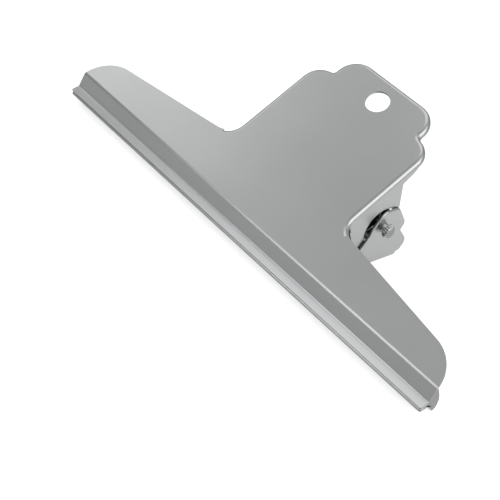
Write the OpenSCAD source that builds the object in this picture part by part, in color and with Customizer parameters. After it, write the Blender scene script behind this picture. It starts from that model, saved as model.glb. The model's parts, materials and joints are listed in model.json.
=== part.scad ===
// Wide spring clip of pressed sheet steel: two hinged leaves, a pin and a coil spring.
// Millimetres. The rear leaf lies flat on z = 0, +Y runs towards the handles, +X along the jaw,
// and the pin axis stands straight above the origin.

/* [Jaw] */
// Length of the jaw, end to end
jaw_width = 145; // [110:1:180]
// Radius of the round wing ends
wing_end_r = 10.8; // [9:0.1:11.5]
// Reach of the wing above the jaw fold, where it meets the handle
wing_root = 14.7; // [13.5:0.1:17]
// Slope of the wing's upper edge
wing_slope = 7.7; // [5:0.1:9]
// How far the steep band leans out from the jaw fold to the lip
band_lean = 3.4; // [2.8:0.1:4]
// Width of the gripping lip
lip_width = 2.7; // [2:0.1:4]
// Gap between the two closed lips
lip_gap = 0.2; // [0.1:0.05:0.6]
// Corner radius at the ends of the lip
lip_corner_r = 0.5; // [0.2:0.1:2]

/* [Sheet] */
// Thickness of the sheet steel
sheet_t = 0.7; // [0.6:0.05:0.8]
// Outside radius where the handle sides are bent down
side_bend_r = 1.4; // [1.2:0.1:1.8]
// Outside radius of the jaw fold
fold_r = 1.3; // [1.1:0.1:1.8]

/* [Handle] */
// Half width of the front handle, over its ears
handle_half = 22.9; // [20:0.1:28]
// Distance from the jaw fold to the end of the front handle
front_len = 57; // [54:0.1:66]
// Distance from the jaw fold to the end of the rear handle
rear_len = 38.4; // [37.8:0.1:40]
// Half width of the narrow tab at the end of the front handle
tab_half = 16.9; // [14:0.1:18.5]
// Corner radius of the tab
tab_corner_r = 6.7; // [5:0.1:7.5]
// Distance from the shoulders to the end of the tab
tab_len = 8.4; // [7.8:0.1:11]
// Corner radius of the shoulders
shoulder_r = 6; // [4:0.1:7]
// Radius of the hanging hole
hang_hole_r = 3.5; // [2.5:0.1:4.5]
// Distance from the hole's centre to the end of the tab
hang_hole_edge = 7.4; // [6:0.1:9]
// Radius of the hollow between wing and handle
root_fillet_r = 5.2; // [4:0.1:7]
// Angle through which the side wall follows that hollow
hollow_wrap = 60; // [30:1:65]
// Radius of the small notch between shoulder and tab
notch_r = 1; // [0.8:0.1:2]

/* [Hinge] */
// Distance from the jaw fold to the pin, along a leaf
pin_back = 27.4; // [26.5:0.1:30]
// Distance from a leaf's outer face to the pin axis
pin_h = 13.4; // [13:0.1:15]
// Angle between the two leaves when the clip is shut
shut_angle = 34.6; // [33:0.2:36]
// Radius of the pin
pin_r = 1.5; // [1.2:0.1:1.7]
// Radial clearance of the pin in the rear ears
pin_seat_gap = 0.03; // [0.02:0.01:0.05]
// Radial clearance of the pin in the front ears
pin_run_gap = 0.06; // [0.03:0.01:0.1]
// Side gap between the front ears and the rear ears
ear_gap = 0.15; // [0.1:0.05:0.4]
// Outer radius of the eye round the pin in a front ear
eye_r = 2.6; // [2.3:0.1:3]
// Radius of the arch in a front ear
arch_r = 5.9; // [5.6:0.1:6.2]
// How far a rear ear stands above the pin axis
ear_top = 5.5; // [5:0.1:6.2]
// How far a rear ear reaches from the pin axis towards the jaw
ear_fore = 4.7; // [4.4:0.1:5.2]
// How far a rear ear reaches from the pin axis towards the handle
ear_aft = 9.5; // [8.8:0.1:10.5]
// Height of the notch in a rear ear, over the leaf's outer face
ear_notch = 10.1; // [9.6:0.1:11]
// Distance from the pin axis to the edge of a front ear's narrow leg
ear_leg = 6.8; // [6.2:0.1:7.6]
// Free length of the pin outside each rear ear
pin_end = 2.7; // [2.2:0.1:4]
// Radius of the spread ends of the pin
pin_head_r = 2.1; // [1.9:0.1:2.4]
// Length of each spread end
pin_head_len = 1.4; // [1:0.1:1.8]
// Depth of the rim round the end of a handle
end_rim = 1.9; // [1.8:0.1:2.4]
// Depth to which the wall follows the hollow between wing and handle
hollow_depth = 4; // [3:0.5:5]
// Depth of the rim along the handle's sides
rim_depth = 3.3; // [2.8:0.1:4.5]

/* [Spring] */
// Diameter of the spring wire
wire_d = 2; // [1.4:0.1:2]
// Radius of the coil, to the middle of the wire
coil_r = 5; // [4.4:0.1:5.1]
// Free space between the curls
curl_gap = 0.43; // [0.42:0.01:0.6]
// Angle at which a leg leaves the coil towards its leaf
leg_angle = 35; // [30:1:42]
// Gap between the tip of a leg and its leaf
leg_gap = 0.2; // [0.2:0.05:0.5]

/* [Hidden] */

steel = "silver";
black_wire = [0.12, 0.12, 0.13];

// Half the angle between the leaves: both mirror in the plane through the pin at this angle.
half_angle = shut_angle / 2;
rear_half = handle_half + ear_gap + sheet_t;
// Distance from the outer corner of the jaw fold to the mirror plane.
fold_to_mid = pin_h * cos(half_angle) - pin_back * sin(half_angle);
lip_to_mid = sheet_t + lip_gap / 2;
// Depth, below the leaf's outer face, of the lip's outer face at a distance u from the fold.
function lip_depth(u) = (fold_to_mid - lip_to_mid + u * sin(half_angle)) / cos(half_angle);
lip_end = band_lean + lip_width * cos(half_angle);
through = 60;
// Where the straight side walls start: level with the centre of the hollow.
function hollow_x(half) = half + root_fillet_r;
function hollow_y(half) = wing_edge(hollow_x(half), half) + root_fillet_r / cos(wing_slope);

// Unit vector, and the arc of radius r that rounds corner b of the path a, b, c.
function unit(v) = v / norm(v);
function turn(a) = a > 180 ? a - 360 : a < -180 ? a + 360 : a;
function corner_arc(a, b, c, r, n) =
    let (u = unit(a - b), w = unit(c - b), half = acos(u * w) / 2,
         mid = b + unit(u + w) * r / sin(half),
         p0 = b + u * r / tan(half), p1 = b + w * r / tan(half),
         a0 = atan2(p0[1] - mid[1], p0[0] - mid[0]),
         sweep = turn(atan2(p1[1] - mid[1], p1[0] - mid[0]) - a0))
    [for (i = [0:n]) mid + r * [cos(a0 + sweep * i / n), sin(a0 + sweep * i / n)]];

// Closed outline from corners given as [y, z, radius].
function flat_point(p) = [p[0], p[1]];
function rounded(pts, n = 8) =
    let (m = len(pts))
    [for (i = [0:m - 1]) each pts[i][2] == 0 ? [flat_point(pts[i])]
        : corner_arc(flat_point(pts[(i + m - 1) % m]), flat_point(pts[i]),
                     flat_point(pts[(i + 1) % m]), pts[i][2], n)];

// The jaw's section in y and depth: plate, steep band and lip, one sheet thick.
function normal(a, b) = let (d = unit(b - a)) [d[1], -d[0]];
function inner_corner(a, b, c, t) =
    let (m = normal(a, b), n = normal(b, c)) b + t * (m + n) / (1 + m * n);
function jaw_section(plate_end) =
    let (a = [plate_end, 0], b = [-pin_back, 0],
         c = [-pin_back - band_lean, lip_depth(-band_lean)],
         d = [-pin_back - lip_end, lip_depth(-lip_end)],
         bi = inner_corner(a, b, c, sheet_t), ci = inner_corner(b, c, d, sheet_t),
         ai = a + [0, sheet_t], di = d + sheet_t * normal(c, d), bend_r = fold_r - sheet_t)
    concat([a], corner_arc(a, b, c, fold_r, 6), corner_arc(b, c, d, bend_r, 4), [d, di],
           corner_arc(di, ci, bi, fold_r, 4),
           corner_arc(ci, bi, ai, bend_r, 6), [ai]);

// Solids from flat shapes: along the jaw, through the leaf, and along the handle.
module along_x(length) rotate([90, 0, 90]) linear_extrude(length, center = true) children();
module through_z() translate([0, 0, -1]) linear_extrude(through) children();
module along_y(from, to) translate([0, to, 0]) rotate([90, 0, 0]) linear_extrude(to - from)
    children();

// Wings and jaw seen from above, in x and y.
function wing_edge(x, half) = wing_root - (x - half) * tan(wing_slope) - pin_back;
module wings_plan(half) {
    end_x = jaw_width / 2 - wing_end_r;
    end_y = wing_edge(end_x, half) - wing_end_r / cos(wing_slope);
    tangent = [end_x + wing_end_r * sin(wing_slope), end_y + wing_end_r * cos(wing_slope)];
    foot = -pin_back - lip_end;
    fillet_c = [hollow_x(half), hollow_y(half)];
    for (s = [0, 1]) mirror([s, 0]) {
        polygon([[-1, foot + lip_corner_r], [jaw_width / 2, foot + lip_corner_r],
                 [jaw_width / 2, end_y], [end_x, end_y], tangent,
                 [half, wing_edge(half, half)], [-1, wing_edge(half, half)]]);
        translate([-1, end_y]) square([half + 1, hollow_y(half) - end_y]);
        translate([-1, foot]) square([jaw_width / 2 - lip_corner_r + 1, lip_corner_r + 1]);
        translate([jaw_width / 2 - lip_corner_r, foot + lip_corner_r])
            circle(lip_corner_r, $fn = 48);
        // The round end's lower half stays clear of the lip's straight edge.
        intersection() {
            translate([end_x, end_y]) circle(wing_end_r, $fn = 96);
            translate([0, end_y - 1]) square(jaw_width);
        }
        difference() {
            polygon([[half - 1, end_y], [fillet_c[0], end_y],
                     [fillet_c[0], wing_edge(fillet_c[0], half)], fillet_c,
                     [half - 1, fillet_c[1]]]);
            translate(fillet_c) circle(root_fillet_r, $fn = 72);
        }
    }
}

// Handle sides bent down: a channel section in x and depth.
module channel_section(half) {
    deep = through / 2;
    difference() {
        rounded_top(half, side_bend_r, 0, deep);
        rounded_top(half - sheet_t, side_bend_r - sheet_t, sheet_t, deep + 1);
    }
}
module rounded_top(half, r, top, deep) {
    translate([-half, top + r]) square([2 * half, deep - top - r]);
    translate([-half + r, top]) square([2 * (half - r), deep - top]);
    for (s = [-1, 1]) translate([s * (half - r), top + r]) circle(r, $fn = 48);
}

// The same bend and wall, turned round the hollow between wing and handle.
module round_hollow(half) for (s = [0, 1]) mirror([s, 0, 0])
    translate([hollow_x(half), hollow_y(half), 0]) rotate([0, 0, 180])
        rotate_extrude(angle = hollow_wrap, $fn = 96) children();
module hollow_wall_section() {
    flat = root_fillet_r + side_bend_r;
    intersection() {
        difference() {
            hollow_side(root_fillet_r, 0, side_bend_r);
            translate([0, 0.001]) hollow_side(root_fillet_r + sheet_t, sheet_t, side_bend_r - sheet_t);
        }
        square([flat, hollow_depth]);
    }
    translate([flat, 0]) square([sheet_t / 2, sheet_t]);
}
module hollow_side(from, top, r) {
    translate([from, top + r]) square([root_fillet_r + side_bend_r - from, hollow_depth - top - r]);
    translate([from + r, top + r]) circle(r, $fn = 48);
}

// One pressed leaf, outer face on z = 0, its channel going as far as end. Child: the ear outline.
module leaf(half, end) {
    difference() {
        intersection() {
            along_x(jaw_width) polygon(jaw_section(hollow_y(half)));
            through_z() wings_plan(half);
        }
        round_hollow(half) translate([0, -1]) square([root_fillet_r + side_bend_r, sheet_t + 2]);
    }
    // Straight sides, with an ear's fore part reaching past the hollow's start.
    fore = root_fillet_r * sin(hollow_wrap);
    intersection() {
        union() {
            along_y(hollow_y(half), end) channel_section(half);
            for (s = [-1, 1])
                translate([s * (half - sheet_t / 2), hollow_y(half), through / 2 + side_bend_r])
                    cube([sheet_t, 2 * fore, through], center = true);
        }
        along_x(4 * half) children();
    }
    translate([side_bend_r - half, hollow_y(half) - sheet_t, 0])
        cube([2 * (half - side_bend_r), 2 * sheet_t, sheet_t]);
    intersection() {
        round_hollow(half) hollow_wall_section();
        along_x(4 * half) children();
    }
}

// The end of the front handle as a shallow tray: plate and rolled rim round shoulders and tab.
// Each solid below has rounded top edges, and t draws the whole form in by a sheet's thickness.
module rim_section(reach, t) {
    bend = side_bend_r - t;
    translate([0, t]) square([reach - bend, 2 * side_bend_r]);
    translate([0, side_bend_r]) square([reach, side_bend_r + t]);
    translate([reach - bend, side_bend_r]) circle(bend, $fn = 24);
}
module rounded_block(half, end, r, t) {
    for (s = [0, 1]) mirror([s, 0, 0]) {
        along_y(end_from, end - r) rim_section(half, t);
        translate([half - r, end - r, 0]) rotate_extrude($fn = 48) rim_section(r, t);
    }
    translate([0, end_from, 0]) along_x(2 * (half - r)) rim_section(end - end_from, t);
}
module notch_block(side, foot, t) {
    r = notch_r + t;
    bend = side_bend_r - t;
    wide = bend + 0.3 + r;
    difference() {
        translate([side + r - wide, foot + r - wide, t]) cube([wide, wide, 2 * side_bend_r]);
        translate([side + r, foot + r, 0]) rotate_extrude($fn = 48) difference() {
            translate([0, -1]) square([r + bend, 3 * side_bend_r + 1]);
            translate([r + bend, side_bend_r]) circle(bend, $fn = 24);
            translate([r, side_bend_r]) square([bend + 1, 3 * side_bend_r]);
        }
    }
}
module end_form(t) {
    rounded_block(handle_half - t, shoulder - t, shoulder_r - t, t);
    rounded_block(tab_half - t, front_end - t, tab_corner_r - t, t);
    for (s = [0, 1]) mirror([s, 0, 0]) notch_block(tab_half - t, shoulder - t, t);
}
module front_handle_end() intersection() {
    difference() {
        end_form(0);
        end_form(sheet_t);
    }
    translate([-handle_half, end_from, 0]) cube([2 * handle_half, front_len, end_rim]);
}

// Outlines of the ears, in y and height over the leaf's outer face. Both start at the wing.
wing_side = -pin_back + wing_root / 2;
fore_edge = [[wing_side, side_bend_r, 0], [wing_side, 0, 0]];

rear_end = rear_len - pin_back;
// The rear ear's lobe, its cut edge and its knuckle over the pin.
lobe_r = 2.7;
lobe_c = [ear_aft + 1.5, lobe_r + 1.9];
seam_lean = 0.48;
rear_ear = concat(fore_edge,
    [[rear_end, 0, 0], [rear_end, 2 * side_bend_r, 0], [lobe_c[0] + 1.8, lobe_c[1] + 2, 0],
     [ear_aft - 0.4, ear_notch, 0.6], [ear_aft + 0.5, pin_h - 0.8, 1.9],
     [4.3, pin_h + ear_top + 0.1, 4], [2.6 - ear_fore, pin_h + ear_top - 0.1, 3],
     [0.1 - ear_fore, pin_h + 0.4, 2], [-ear_fore, pin_h - 1.7, 0.3],
     [-ear_fore - 0.5, pin_h - 2.8, 0.3],
     [-ear_fore - 0.5 - seam_lean * (pin_h - 2.8 - side_bend_r), side_bend_r, 0]]);
module rear_ear_outline() {
    polygon(rounded(rear_ear));
    translate(lobe_c) circle(lobe_r, $fn = 72);
}

front_end = front_len - pin_back;
shoulder = front_end - tab_len;
end_from = shoulder - shoulder_r - 0.5;
// Depth of a front ear's lower end, and where that end starts towards the jaw.
ear_low = pin_h + 3.4;
ear_low_from = hollow_y(handle_half) - 0.45 * root_fillet_r;
front_ear = concat(fore_edge,
    [[end_from + 1, 0, 0], [end_from + 1, end_rim, 0], [end_from - 1.6, rim_depth - 0.4, 0],
     [ear_leg + 2.6, rim_depth, 1], [ear_leg - 0.3, pin_h, 0], [ear_leg - 0.8, pin_h + 1.4, 1],
     [3, ear_low - 0.6, 1], [-3.4, ear_low, 0], [ear_low_from, ear_low, 1], [ear_low_from, side_bend_r, 0]]);
// Centre of the arch, from the pin axis.
arch_c = [-0.7, -0.6];
arch_foot = 1.3;

// The leg of a front ear bends in under the arch and ends in an eye round the pin.
module front_ear_outline() {
    neck = 0.55 * eye_r;
    difference() {
        polygon(rounded(front_ear));
        intersection() {
            translate([arch_c[0], pin_h + arch_c[1]]) circle(arch_r, $fn = 96);
            translate([-2 * arch_r, 0]) square([4 * arch_r, pin_h + arch_foot]);
        }
    }
    translate([0, pin_h]) circle(eye_r, $fn = 64);
    polygon([[0, pin_h - neck], [ear_leg - 1.2, pin_h - 1.7], [ear_leg - 0.2, pin_h - 1],
             [ear_leg - 0.6, pin_h + 1], [ear_leg - 1.4, pin_h + neck], [0, pin_h + neck]]);
}

module pin_bore(half, r) translate([0, 0, pin_h]) rotate([0, 90, 0])
    cylinder(h = 2 * half + 2, r = r, center = true, $fn = 64);

module rear_leaf() {
    color(steel) difference() {
        leaf(rear_half, lobe_c[0] + lobe_r + 1) rear_ear_outline();
        pin_bore(rear_half, pin_r + pin_seat_gap);
    }
}

// The front leaf is the same pressing turned over about the pin, with a tab and a hole.
module front_leaf() {
    color(steel) translate([0, 0, pin_h]) rotate([shut_angle, 0, 0]) mirror([0, 0, 1])
        translate([0, 0, -pin_h]) difference() {
            union() {
                leaf(handle_half, end_from + 0.3) front_ear_outline();
                front_handle_end();
            }
            pin_bore(handle_half, pin_r + pin_run_gap);
            translate([0, front_end - hang_hole_edge, 0])
                cylinder(h = 4 * sheet_t, r = hang_hole_r, center = true, $fn = 96);
        }
}

// Pin through both pairs of ears, its ends spread by a toothed punch.
module pivot_pin() {
    reach = rear_half + pin_end;
    color(steel) translate([0, 0, pin_h]) rotate([0, 90, 0]) {
        cylinder(h = 2 * reach - 1, r = pin_r, center = true, $fn = 64);
        for (s = [0, 1]) mirror([0, 0, s]) translate([0, 0, reach - pin_head_len])
            rotate_extrude($fn = 64) polygon([[0, -0.2], [pin_r, -0.2], [pin_head_r, 0.2],
                [pin_head_r, pin_head_len - 0.4], [pin_head_r - 0.4, pin_head_len],
                [0, pin_head_len]]);
    }
}

// The spring's wire: rear leg, coil and front leg, as points along its middle.
// As many whole curls as fit between the front ears, with a leg's tip clear of their inner bend.
pitch = wire_d + curl_gap;
inner_bend = side_bend_r - sheet_t;
tip_side = inner_bend - sqrt(pow(inner_bend, 2) - pow(inner_bend - leg_gap, 2)) + 0.05;
curls = floor((2 * (handle_half - sheet_t - tip_side) - wire_d) / pitch - 0.2);
coil_len = (curls + 0.2) * pitch;
wire_steps = 8;
rear_start = -90 - leg_angle;
front_start = shut_angle - rear_start;
coil_sweep = 360 * curls + rear_start - (front_start - 360);
coil_rings = ceil(coil_sweep / (360 / wire_steps));
function leg_points() =
    let (from = coil_r * [cos(rear_start), sin(rear_start)],
         dir = [cos(leg_angle), -sin(leg_angle)],
         floor_z = -pin_h + sheet_t + leg_gap,
         knee_z = floor_z + 1.6 * wire_d,
         knee = from + dir * (from[1] - knee_z) / sin(leg_angle),
         tip = [knee[0], floor_z])
    concat([tip], corner_arc(tip, knee, from, wire_d * 0.8, 3), [from + dir * 2]);
function in_plane(x, p) = [x, p[0], p[1]];
function mirror_point(p) =
    [p[0] * cos(shut_angle) + p[1] * sin(shut_angle),
     p[0] * sin(shut_angle) - p[1] * cos(shut_angle)];
wire_path = concat(
    [for (p = leg_points()) in_plane(-coil_len / 2, p)],
    [for (i = [0:coil_rings]) let (k = i / coil_rings, a = rear_start - coil_sweep * k)
        [coil_len * (k - 0.5), coil_r * cos(a), coil_r * sin(a)]],
    [for (i = [len(leg_points()) - 1:-1:0])
        in_plane(coil_len / 2, mirror_point(leg_points()[i]))]);

// Least gap of the wire to itself, measured between points that aren't neighbours.
wire_gap = min([for (i = [0:len(wire_path) - 8]) each
    [for (j = [i + 6:len(wire_path) - 1]) norm(wire_path[i] - wire_path[j])]]) - wire_d;
echo(str("least gap of the spring wire to itself, mm: ", wire_gap));

// A tube of six sides swept along the wire's points.
tube_sides = 6;
function tangent_at(p, i) = unit(p[min(i + 1, len(p) - 1)] - p[max(i - 1, 0)]);
function tube_ring(p, i, r) =
    let (t = tangent_at(p, i), a = unit([1, 0, 0] - t[0] * t), b = cross(t, a))
    [for (k = [0:tube_sides - 1])
        p[i] + r * (a * cos(360 * k / tube_sides) + b * sin(360 * k / tube_sides))];
module swept_tube(p, r) {
    n = len(p);
    points = [for (i = [0:n - 1]) each tube_ring(p, i, r)];
    sides = [for (i = [0:n - 2], k = [0:tube_sides - 1])
        let (a = i * tube_sides + k, b = i * tube_sides + (k + 1) % tube_sides)
        each [[a, b, b + tube_sides], [a, b + tube_sides, a + tube_sides]]];
    first = [for (k = [1:tube_sides - 2]) [0, k + 1, k]];
    last = [for (k = [1:tube_sides - 2])
        [(n - 1) * tube_sides, (n - 1) * tube_sides + k, (n - 1) * tube_sides + k + 1]];
    polyhedron(points, concat(sides, first, last), convexity = 10);
}

module torsion_spring() {
    color(black_wire) translate([0, 0, pin_h]) swept_tube(wire_path, wire_d / 2);
}

rear_leaf();
front_leaf();
pivot_pin();
torsion_spring();
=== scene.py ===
import json
import math

import bmesh
import bpy
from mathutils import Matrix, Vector


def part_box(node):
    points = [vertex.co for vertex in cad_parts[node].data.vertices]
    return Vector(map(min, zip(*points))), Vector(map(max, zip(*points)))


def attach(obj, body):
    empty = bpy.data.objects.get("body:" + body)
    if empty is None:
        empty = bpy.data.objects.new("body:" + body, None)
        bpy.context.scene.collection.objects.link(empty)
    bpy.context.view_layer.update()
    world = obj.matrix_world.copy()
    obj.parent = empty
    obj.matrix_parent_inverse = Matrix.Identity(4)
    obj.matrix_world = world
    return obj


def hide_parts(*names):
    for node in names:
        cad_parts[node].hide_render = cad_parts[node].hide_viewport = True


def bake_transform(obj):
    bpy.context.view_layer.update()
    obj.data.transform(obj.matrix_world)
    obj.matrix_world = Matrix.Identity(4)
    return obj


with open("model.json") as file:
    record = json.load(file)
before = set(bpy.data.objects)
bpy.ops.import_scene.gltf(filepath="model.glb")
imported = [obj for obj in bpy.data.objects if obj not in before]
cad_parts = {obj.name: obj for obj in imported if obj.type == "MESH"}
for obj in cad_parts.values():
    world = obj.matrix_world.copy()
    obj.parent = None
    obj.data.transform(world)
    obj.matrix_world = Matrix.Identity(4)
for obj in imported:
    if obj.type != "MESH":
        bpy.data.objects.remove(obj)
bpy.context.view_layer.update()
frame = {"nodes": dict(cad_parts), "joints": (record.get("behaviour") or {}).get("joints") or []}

# Camera: the place, turn and lens of the pinhole camera that was fitted to the photograph.
# The clip lies on its rear leaf, and the camera looks down on the front leaf from the right,
# rolled so that the jaw runs from the upper left to the lower right.
camera = bpy.data.objects.new("camera", bpy.data.cameras.new("camera"))
bpy.context.scene.collection.objects.link(camera)
camera.location = (0.174648, -0.258995, 0.198017)
camera.rotation_euler = (0.936678, -0.280348, 0.835654)
camera.data.sensor_width = 36
camera.data.lens = 92.978
camera.data.clip_start = 0.01
bpy.context.scene.camera = camera
bpy.context.scene.view_settings.view_transform = "Standard"


# Light: a pale room that is darker in front, with four soft boxes. One stands above and behind the
# clip for the lips, a tall one in front is seen as the highlight along the jaw fold, a small one
# on the left lights the left wing, and one on the right lights the bend of the handle.
def soft_lamp(name, toward, distance, size, size_y, watts):
    lamp = bpy.data.lights.new(name, "AREA")
    lamp.shape = "RECTANGLE"
    lamp.size, lamp.size_y = size, size_y
    lamp.energy = watts
    holder = bpy.data.objects.new(name, lamp)
    bpy.context.scene.collection.objects.link(holder)
    direction = Vector(toward).normalized()
    clip_middle = Vector((0, 0, 0.02))
    holder.location = direction * distance + clip_middle
    holder.rotation_mode = "QUATERNION"
    holder.rotation_quaternion = direction.to_track_quat("Z", "Y")


soft_lamp("lamp_back", (-0.23, 0.30, 0.92), distance=0.9, size=0.7, size_y=0.7, watts=1.42)
soft_lamp("lamp_fold", (-0.30, -0.72, 0.46), distance=0.8, size=0.26, size_y=0.75, watts=1.12)
soft_lamp("lamp_left", (-0.75, -0.15, 0.65), distance=0.9, size=0.4, size_y=0.4, watts=0.52)
soft_lamp("lamp_side", (0.86, 0.12, 0.5), distance=0.8, size=0.8, size_y=0.7, watts=2.7)

# The camera sees a white room; what the metal mirrors grows darker towards the front.
world = bpy.data.worlds.new("room")
bpy.context.scene.world = world
world.use_nodes = True
nodes, links = world.node_tree.nodes, world.node_tree.links
nodes.clear()
out = nodes.new("ShaderNodeOutputWorld")
room = nodes.new("ShaderNodeBackground")
white = nodes.new("ShaderNodeBackground")
white.inputs["Color"].default_value = (1, 1, 1, 1)
white.inputs["Strength"].default_value = 1.0
mix = nodes.new("ShaderNodeMixShader")
path = nodes.new("ShaderNodeLightPath")
room.inputs["Color"].default_value = (1, 1, 1, 1)
coord = nodes.new("ShaderNodeTexCoord")
split = nodes.new("ShaderNodeSeparateXYZ")
front_dim = nodes.new("ShaderNodeMapRange")
front_dim.interpolation_type = "SMOOTHSTEP"
front_dim.inputs["From Min"].default_value = -0.95
front_dim.inputs["From Max"].default_value = -0.35
front_dim.inputs["To Min"].default_value = 0.12
front_dim.inputs["To Max"].default_value = 0.5
links.new(coord.outputs["Generated"], split.inputs[0])
links.new(split.outputs["Y"], front_dim.inputs["Value"])
links.new(front_dim.outputs["Result"], room.inputs["Strength"])
links.new(path.outputs["Is Camera Ray"], mix.inputs["Fac"])
links.new(room.outputs[0], mix.inputs[1])
links.new(white.outputs[0], mix.inputs[2])
links.new(mix.outputs[0], out.inputs["Surface"])

# Floor: a plain white sheet that the clip lies on and that takes its soft shadow. It glows for
# the camera, which sees it as white as the photograph's ground, and a patch of it beside the
# right ears also glows in what the metal mirrors.
floor_mesh = bmesh.new()
floor_half = 1.6
bmesh.ops.create_grid(floor_mesh, x_segments=1, y_segments=1, size=floor_half)
floor = bpy.data.objects.new("floor", bpy.data.meshes.new("floor"))
floor_mesh.to_mesh(floor.data)
floor_mesh.free()
bpy.context.scene.collection.objects.link(floor)
floor_drop = 0.0002
floor.location.z = -floor_drop
floor_paint = bpy.data.materials.new("floor_white")
floor_paint.use_nodes = True
nodes, links = floor_paint.node_tree.nodes, floor_paint.node_tree.links
nodes.clear()
out = nodes.new("ShaderNodeOutputMaterial")
paint = nodes.new("ShaderNodeBsdfDiffuse")
paint.inputs["Color"].default_value = (0.7, 0.7, 0.7, 1)
glow = nodes.new("ShaderNodeEmission")
glow.inputs["Color"].default_value = (1, 1, 1, 1)
seen = nodes.new("ShaderNodeLightPath")
coord = nodes.new("ShaderNodeTexCoord")
away = nodes.new("ShaderNodeVectorMath")
away.operation = "DISTANCE"
glow_middle = (0.05, 0.04, 0)
away.inputs[1].default_value = glow_middle
near = nodes.new("ShaderNodeMapRange")
near.interpolation_type = "SMOOTHSTEP"
near.inputs["From Min"].default_value = 0.04
near.inputs["From Max"].default_value = 0.09
near.inputs["To Min"].default_value = 0.4
near.inputs["To Max"].default_value = 0.0
mirrored = nodes.new("ShaderNodeMath")
mirrored.operation = "MULTIPLY"
direct = nodes.new("ShaderNodeMath")
direct.operation = "MULTIPLY"
camera_glow = 0.74
direct.inputs[1].default_value = camera_glow
level = nodes.new("ShaderNodeMath")
both = nodes.new("ShaderNodeAddShader")
links.new(coord.outputs["Object"], away.inputs[0])
links.new(away.outputs["Value"], near.inputs["Value"])
links.new(near.outputs["Result"], mirrored.inputs[0])
links.new(seen.outputs["Is Glossy Ray"], mirrored.inputs[1])
links.new(seen.outputs["Is Camera Ray"], direct.inputs[0])
links.new(mirrored.outputs[0], level.inputs[0])
links.new(direct.outputs[0], level.inputs[1])
links.new(level.outputs[0], glow.inputs["Strength"])
links.new(paint.outputs[0], both.inputs[0])
links.new(glow.outputs[0], both.inputs[1])
links.new(both.outputs[0], out.inputs["Surface"])
floor.data.materials.append(floor_paint)


# The two leaves: each is one pressing of thin sheet steel, blanked, pierced, folded at the jaw,
# its handle sides and rims rolled down and its ears bent in, then tumbled and plated with
# satin nickel. The cut edges are slightly rounded by the tumbling.
def satin_nickel(name, colour, roughness, grain):
    material = bpy.data.materials.new(name)
    material.use_nodes = True
    nodes, links = material.node_tree.nodes, material.node_tree.links
    shader = nodes["Principled BSDF"]
    shader.inputs["Metallic"].default_value = 1.0
    coord = nodes.new("ShaderNodeTexCoord")
    fine = nodes.new("ShaderNodeTexNoise")
    fine.inputs["Scale"].default_value = 2600
    fine.inputs["Detail"].default_value = 3
    links.new(coord.outputs["Object"], fine.inputs["Vector"])
    cloud = nodes.new("ShaderNodeTexNoise")
    cloud.inputs["Scale"].default_value = 60
    cloud.inputs["Detail"].default_value = 2
    links.new(coord.outputs["Object"], cloud.inputs["Vector"])
    shade = nodes.new("ShaderNodeMix")
    shade.data_type = "RGBA"
    cloudiness = 0.045
    shade.inputs["A"].default_value = (*[c * (1 - cloudiness) for c in colour], 1)
    shade.inputs["B"].default_value = (*[c * (1 + cloudiness) for c in colour], 1)
    links.new(cloud.outputs["Fac"], shade.inputs["Factor"])
    links.new(shade.outputs["Result"], shader.inputs["Base Color"])
    rough = nodes.new("ShaderNodeMapRange")
    rough_spread = 0.05
    rough.inputs["To Min"].default_value = roughness - rough_spread
    rough.inputs["To Max"].default_value = roughness + rough_spread
    links.new(fine.outputs["Fac"], rough.inputs["Value"])
    links.new(rough.outputs["Result"], shader.inputs["Roughness"])
    bump = nodes.new("ShaderNodeBump")
    bump.inputs["Strength"].default_value = grain
    grain_height = 0.00002
    bump.inputs["Distance"].default_value = grain_height
    links.new(fine.outputs["Fac"], bump.inputs["Height"])
    links.new(bump.outputs["Normal"], shader.inputs["Normal"])
    return material


nickel = satin_nickel("satin_nickel", (0.47, 0.477, 0.48), roughness=0.3, grain=0.3)
rolled_radius = 0.0005
tumbled_radius = 0.00012
same_point = 2e-6


# soft_rim picks the edges that the press rounds more: those round the outside of the ears.
def pressing(name, node, soft_rim=None):
    mesh = bpy.data.meshes.new(name)
    shape = bmesh.new()
    shape.from_mesh(frame["nodes"][node].data)
    bmesh.ops.remove_doubles(shape, verts=shape.verts, dist=same_point)
    bmesh.ops.dissolve_limit(shape, angle_limit=math.radians(0.2), verts=shape.verts,
                             edges=shape.edges)
    rolled = shape.edges.layers.float.new("bevel_weight_edge")
    rim_turn = math.radians(40)
    for edge in shape.edges:
        turn = edge.calc_face_angle(0)
        if soft_rim and turn > rim_turn and all(soft_rim(end.co) for end in edge.verts):
            edge[rolled] = 1.0
    shape.to_mesh(mesh)
    shape.free()
    mesh.shade_smooth()
    mesh.set_sharp_from_angle(angle=math.radians(35))
    piece = bpy.data.objects.new(name, mesh)
    bpy.context.scene.collection.objects.link(piece)
    if soft_rim:
        rim_bevel = piece.modifiers.new("rolled_rim", "BEVEL")
        rim_bevel.width = rolled_radius
        rim_bevel.segments = 4
        rim_bevel.limit_method = "WEIGHT"
        rim_bevel.use_clamp_overlap = False
    edge_bevel = piece.modifiers.new("tumbled_edges", "BEVEL")
    edge_bevel.width = tumbled_radius
    edge_bevel.segments = 2
    edge_bevel.limit_method = "ANGLE"
    edge_bevel.angle_limit = math.radians(40)
    even = piece.modifiers.new("flat_faces", "WEIGHTED_NORMAL")
    even.mode = "FACE_AREA"
    even.weight = 100
    even.keep_sharp = False
    mesh.materials.clear()
    mesh.materials.append(nickel)
    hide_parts(node)
    return piece


front = pressing("front_pressing", "front_leaf")
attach(front, "front")

# The rear leaf's rolled rim runs round the outer face of its ears, but not round the pin's holes.
pin_height = frame["joints"][0]["pos_m"][2]
ear_outside = 0.0237
ear_foot = 0.0025
hole_clearance = 0.0025


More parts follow.
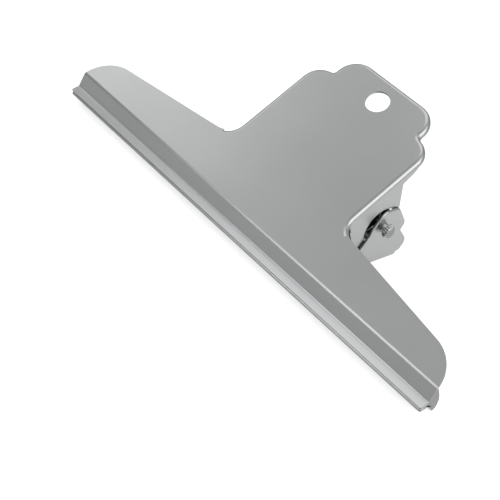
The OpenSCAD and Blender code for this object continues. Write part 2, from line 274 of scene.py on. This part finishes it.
def on_ear_rim(point):
    from_pin = (point.yz - Vector((0, pin_height))).length
    return abs(point.x) > ear_outside and point.z > ear_foot and from_pin > hole_clearance


rear = pressing("rear_pressing", "rear_leaf", on_ear_rim)
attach(rear, "rear")

# The pin: a drawn steel rod through all four ears. Each end is spread by a toothed punch, which
# swells it behind the face and leaves a crown of small notches round a flat, slightly dished top.
pin_radius = 0.0015
ear_face = 0.02375
pin_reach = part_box("pivot_pin")[1].x
punched_depth = 0.0003


def crowned_pin(sides=96, teeth=16):
    shape = bmesh.new()
    # Rings as distance along the pin from its middle, radius, and depth of the teeth there.
    rings = [(0.0, pin_radius, 0), (ear_face, pin_radius, 0), (ear_face + 0.0008, pin_radius, 0),
             (ear_face + 0.00095, 0.00162, 0), (ear_face + 0.00115, 0.00196, 0.00004),
             (ear_face + 0.0013, 0.00209, 0.00014), (ear_face + 0.0016, 0.0021, 0.0002),
             (ear_face + 0.0019, 0.00205, 0.0002), (pin_reach - punched_depth, 0.00188, 0.00014),
             (pin_reach - 0.0001, 0.0017, 0.00004), (pin_reach, 0.0015, 0),
             (pin_reach - 0.00005, 0.0011, 0), (pin_reach - 0.00012, 0.0005, 0)]
    rings = [(-x, r, t) for x, r, t in reversed(rings[1:])] + rings
    rows = []
    for x, radius, tooth in rings:
        row = []
        for side in range(sides):
            angle = 2 * math.pi * side / sides
            wave = 0.5 - 0.5 * math.cos(teeth * angle)
            reach = radius - tooth * wave ** 2
            row.append(shape.verts.new((x, reach * math.cos(angle),
                                        pin_height + reach * math.sin(angle))))
        rows.append(row)
    for row, next_row in zip(rows, rows[1:]):
        for side in range(sides):
            next_side = (side + 1) % sides
            shape.faces.new((row[side], next_row[side], next_row[next_side], row[next_side]))
    shape.faces.new(rows[0])
    shape.faces.new(list(reversed(rows[-1])))
    bmesh.ops.recalc_face_normals(shape, faces=shape.faces)
    mesh = bpy.data.meshes.new("pin")
    shape.to_mesh(mesh)
    shape.free()
    mesh.shade_smooth()
    mesh.set_sharp_from_angle(angle=math.radians(50))
    return mesh


pin = bpy.data.objects.new("pin", crowned_pin())
bpy.context.scene.collection.objects.link(pin)
# The pin's sides take a lighter copy of the nickel, a painted sheen that brightens the glints on
# its teeth; its end faces take a darker copy, which is painted shade.
pin.data.materials.append(satin_nickel("pin_nickel_painted_sheen", (0.6, 0.605, 0.605), roughness=0.22,
                                       grain=0.2))
pin.data.materials.append(satin_nickel("pin_face_painted_shade", (0.3, 0.305, 0.305), roughness=0.36,
                                       grain=0.5))
# Faces past the crown at each punched end get the darker copy, the painted shade.
for face in pin.data.polygons:
    faces_out = abs(face.normal.x) > 0.8
    if faces_out and abs(face.center.x) > pin_reach - punched_depth:
        face.material_index = 1
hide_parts("pivot_pin")
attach(pin, "rear")

# The spring: oiled black wire wound into an even coil round the pin, its two straight legs
# pressing the handles apart. In the clip it is held by both leaves and winds up as the clip is
# opened; here it is one fixed mesh in the shut pose, tied to neither leaf.
# Heights of the legs are measured from the pin's axis.
wire_radius = 0.00108
coil_radius = 0.005
coil_length = 0.041796
curls = 17
shut_angle = math.radians(34.6)
leg_angle = math.radians(35)
leg_start = -math.pi / 2 - leg_angle
leg_foot = -0.0125
knee_height = leg_foot + 3.2 * wire_radius
knee_bend = 0.0014


# The rear leg seen along the pin, from its tip over the knee's bend up to the coil.
def leg_path():
    start = Vector((coil_radius * math.cos(leg_start), coil_radius * math.sin(leg_start)))
    way = Vector((math.cos(leg_angle), -math.sin(leg_angle)))
    knee = start + way * (start.y - knee_height) / math.sin(leg_angle)
    tip = Vector((knee.x, leg_foot))
    before, after = knee + Vector((0, -knee_bend)), knee - way * knee_bend
    arc = [before.lerp(knee, t).lerp(knee.lerp(after, t), t) for t in [i / 6 for i in range(7)]]
    straight = [after.lerp(start, t) for t in [i / 8 for i in range(1, 8)]]
    return [tip] + arc + straight


# The front leg is the rear one mirrored in the plane halfway between the two shut leaves.
def across_middle(point):
    return Vector((point.x * math.cos(shut_angle) + point.y * math.sin(shut_angle),
                   point.x * math.sin(shut_angle) - point.y * math.cos(shut_angle)))


sweep = 2 * math.pi * (curls + 1) + 2 * leg_start - shut_angle
steps_per_curl = 30
steps = steps_per_curl * curls
wire_points = [Vector((-coil_length / 2, *point)) for point in leg_path()]
for i in range(steps + 1):
    angle = leg_start - sweep * i / steps
    wire_points.append(Vector((coil_length * (i / steps - 0.5), coil_radius * math.cos(angle),
                               coil_radius * math.sin(angle))))
for point in reversed(leg_path()):
    wire_points.append(Vector((coil_length / 2, *across_middle(point))))
path_mesh = bpy.data.meshes.new("spring_path")
path_mesh.from_pydata([point + Vector((0, 0, pin_height)) for point in wire_points],
                      [(i, i + 1) for i in range(len(wire_points) - 1)], [])
path_piece = bpy.data.objects.new("spring_path", path_mesh)
bpy.context.scene.collection.objects.link(path_piece)

black = bpy.data.materials.new("oiled_black_wire")
black.use_nodes = True
nodes, links = black.node_tree.nodes, black.node_tree.links
shader = nodes["Principled BSDF"]
shader.inputs["Metallic"].default_value = 0.35
shader.inputs["Coat Weight"].default_value = 0.25
shader.inputs["Coat Roughness"].default_value = 0.18
coord = nodes.new("ShaderNodeTexCoord")
scale_marks = nodes.new("ShaderNodeTexNoise")
scale_marks.inputs["Scale"].default_value = 900
scale_marks.inputs["Detail"].default_value = 4
links.new(coord.outputs["Object"], scale_marks.inputs["Vector"])
tint = nodes.new("ShaderNodeMix")
tint.data_type = "RGBA"
tint.inputs["A"].default_value = (0.012, 0.012, 0.014, 1)
tint.inputs["B"].default_value = (0.03, 0.03, 0.033, 1)
links.new(scale_marks.outputs["Fac"], tint.inputs["Factor"])
links.new(tint.outputs["Result"], shader.inputs["Base Color"])
wire_rough = nodes.new("ShaderNodeMapRange")
wire_rough.inputs["To Min"].default_value = 0.3
wire_rough.inputs["To Max"].default_value = 0.5
links.new(scale_marks.outputs["Fac"], wire_rough.inputs["Value"])
links.new(wire_rough.outputs["Result"], shader.inputs["Roughness"])

# Geometry Nodes lay the round wire along its path and close both cut ends.
tree = bpy.data.node_groups.new("wire_along_path", "GeometryNodeTree")
tree.interface.new_socket("Path", in_out="INPUT", socket_type="NodeSocketGeometry")
wire_input = tree.interface.new_socket("Wire radius", in_out="INPUT", socket_type="NodeSocketFloat")
sides_input = tree.interface.new_socket("Sides", in_out="INPUT", socket_type="NodeSocketInt")
tree.interface.new_socket("Wire", in_out="OUTPUT", socket_type="NodeSocketGeometry")
nodes, links = tree.nodes, tree.links
group_in, group_out = nodes.new("NodeGroupInput"), nodes.new("NodeGroupOutput")
to_curve = nodes.new("GeometryNodeMeshToCurve")
ring = nodes.new("GeometryNodeCurvePrimitiveCircle")
tube = nodes.new("GeometryNodeCurveToMesh")
tube.inputs["Fill Caps"].default_value = True
realize = nodes.new("GeometryNodeRealizeInstances")
smooth = nodes.new("GeometryNodeSetShadeSmooth")
painted = nodes.new("GeometryNodeSetMaterial")
painted.inputs["Material"].default_value = black
links.new(group_in.outputs["Path"], to_curve.inputs["Mesh"])
links.new(group_in.outputs["Wire radius"], ring.inputs["Radius"])
links.new(group_in.outputs["Sides"], ring.inputs["Resolution"])
links.new(to_curve.outputs["Curve"], tube.inputs["Curve"])
links.new(ring.outputs["Curve"], tube.inputs["Profile Curve"])
links.new(tube.outputs["Mesh"], realize.inputs["Geometry"])
links.new(realize.outputs["Geometry"], smooth.inputs["Geometry"])
links.new(smooth.outputs["Geometry"], painted.inputs["Geometry"])
links.new(painted.outputs["Geometry"], group_out.inputs["Wire"])
winding = path_piece.modifiers.new("winding", "NODES")
winding.node_group = tree
winding[wire_input.identifier] = wire_radius
wire_sides = 16
winding[sides_input.identifier] = wire_sides
evaluated = path_piece.evaluated_get(bpy.context.evaluated_depsgraph_get())
spring_mesh = bpy.data.meshes.new_from_object(evaluated)
spring_mesh.name = "spring"
bpy.data.objects.remove(path_piece)
spring = bpy.data.objects.new("spring", spring_mesh)
bpy.context.scene.collection.objects.link(spring)
spring.data.set_sharp_from_angle(angle=math.radians(60))
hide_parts("torsion_spring")
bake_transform(spring)
